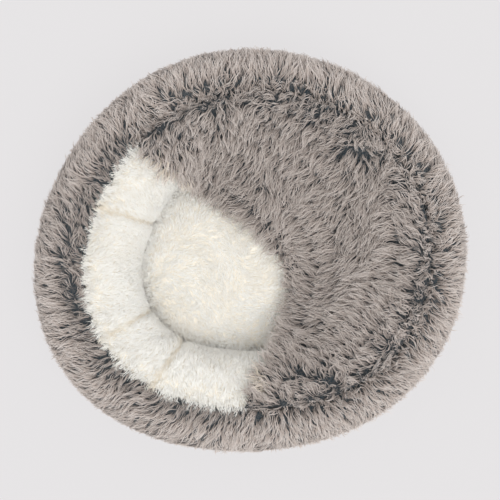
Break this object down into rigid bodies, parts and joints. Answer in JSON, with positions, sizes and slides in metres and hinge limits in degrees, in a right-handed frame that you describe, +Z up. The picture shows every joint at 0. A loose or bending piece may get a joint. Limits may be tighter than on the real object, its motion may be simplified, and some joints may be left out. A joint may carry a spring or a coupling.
{
  "type": "donut pet bed",
  "caption": "Round fibre-filled donut pet bed with a shaggy outer ring, plush nest and a sewn-in hood blanket lying in the nest.",
  "frame": {"origin": "on the floor under the centre of the bed's outline box", "axes": "+Z up, +X to the bed's right and +Y to its back, seen from above with the hood's opening on the left"},
  "size_m": [0.7782, 0.725, 0.1986],
  "materials": {
    "grey_shag": "matte",
    "white_plush": "matte",
    "base_cloth": "matte",
    "zip_tape": "matte",
    "zip_coil": "satin",
    "zip_metal": "satin",
    "sewing_thread": "matte",
    "liner_cloth": "matte",
    "fibre_filling": "matte"
  },
  "bodies": {
    "bed": {"base_panel": "base_cloth", "base_gusset": "base_cloth", "zip_tape_lower": "zip_tape", "zip_tape_upper": "zip_tape", "zip_coil_lower": "zip_coil", "zip_coil_upper": "zip_coil", "zip_bottom_stop": "zip_metal", "zip_top_stop_lower": "zip_metal", "zip_top_stop_upper": "zip_metal", "outer_ring_cover": "grey_shag", "inner_wall_lining": "white_plush", "nest_floor_panel": "white_plush", "crest_stitching": "sewing_thread", "floor_stitching": "sewing_thread", "hood_shag": "grey_shag", "hood_plush_lining": "white_plush", "ring_liner": "liner_cloth", "ring_filling": "fibre_filling", "floor_pad_liner_top": "liner_cloth", "floor_pad_liner_bottom": "liner_cloth", "floor_pad_filling": "fibre_filling"},
    "slider": {"zip_slider": "zip_metal"},
    "pull_tab": {"zip_pull_tab": "zip_metal"}
  },
  "joints": [
    {"name": "zip_travel", "type": "hinge", "parent": "bed", "child": "slider", "pos_m": [0, 0, 0.0155], "axis": [0, 0, 1], "range_deg": [0, 125]},
    {"name": "pull_tab_flip", "type": "hinge", "parent": "slider", "child": "pull_tab", "pos_m": [0.29131, 0.15053, 0.0155], "axis": [0, 0, -1], "range_deg": [0, 175]}
  ]
}
